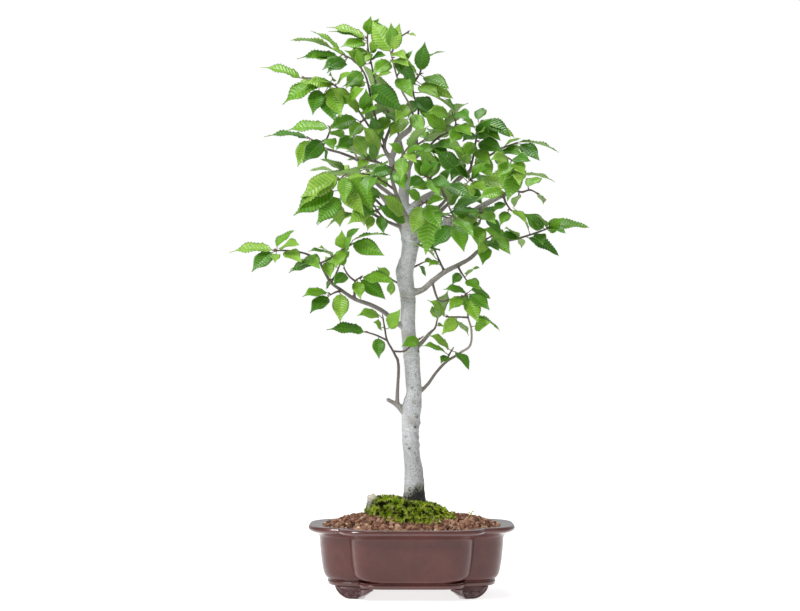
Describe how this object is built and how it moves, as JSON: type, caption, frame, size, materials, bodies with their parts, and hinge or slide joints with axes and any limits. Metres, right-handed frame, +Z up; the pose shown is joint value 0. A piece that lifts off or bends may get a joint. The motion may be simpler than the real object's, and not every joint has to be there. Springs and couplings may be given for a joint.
{
  "type": "japanese beech bonsai in a pot",
  "caption": "Upright japanese beech bonsai with a grey trunk and a layered crown of toothed leaves, in a lobed brown stoneware pot with cloud feet and moss.",
  "frame": {"origin": "on the surface that the pot stands on, under the middle of the whole plant's bounding box", "axes": "+Z up along the trunk, +X to the right and -Y towards the viewer of the tree's front"},
  "size_m": [0.38, 0.2446, 0.6133],
  "materials": {
    "unglazed_clay": "satin unglazed stoneware",
    "black_mesh": "matte",
    "soil_granules": "matte granules of fired clay",
    "moss": "matte, finely tufted",
    "bark": "matte bark",
    "leaf_green": "thin leaf with a soft sheen"
  },
  "bodies": {
    "root": {"pot": "unglazed_clay", "drain_screen_left": "black_mesh", "drain_screen_right": "black_mesh", "soil": "soil_granules", "moss": "moss", "root_stub": "bark", "tree": "bark", "spray_top": "leaf_green", "spray_top_left": "leaf_green", "spray_left_high": "leaf_green", "spray_left_mid": "leaf_green", "spray_left_inner": "leaf_green", "spray_left_low": "leaf_green", "spray_left_under": "leaf_green", "spray_left_black": "leaf_green", "spray_leader_left": "leaf_green", "spray_front_up": "leaf_green", "spray_upper_mid": "leaf_green", "spray_top_right": "leaf_green", "spray_right_high": "leaf_green", "spray_right_arch": "leaf_green", "spray_right_far": "leaf_green", "spray_right_mid": "leaf_green", "spray_right_curl": "leaf_green", "spray_right_edge": "leaf_green", "spray_right_tip": "leaf_green", "spray_right_droop": "leaf_green", "spray_right_hang": "leaf_green", "spray_mid_edge": "leaf_green", "spray_centre_front": "leaf_green", "spray_centre_right": "leaf_green", "spray_mid_right": "leaf_green", "spray_low_right": "leaf_green", "spray_low_right_up": "leaf_green", "spray_low_right_hang": "leaf_green", "spray_right_stem": "leaf_green", "spray_right_foot": "leaf_green", "spray_right_short": "leaf_green", "spray_left_shoot": "leaf_green", "spray_left_reach": "leaf_green", "spray_left_fork": "leaf_green", "spray_left_hang": "leaf_green", "spray_left_behind": "leaf_green", "spray_trunk_left": "leaf_green", "spray_trunk_right": "leaf_green", "spray_back_left": "leaf_green", "spray_back_left_low": "leaf_green", "spray_back_right": "leaf_green", "spray_back_right_low": "leaf_green", "spray_back_up": "leaf_green", "spray_back_mid": "leaf_green", "spray_back_centre": "leaf_green", "spray_front_left": "leaf_green", "spray_front_low": "leaf_green"}
  },
  "joints": []
}
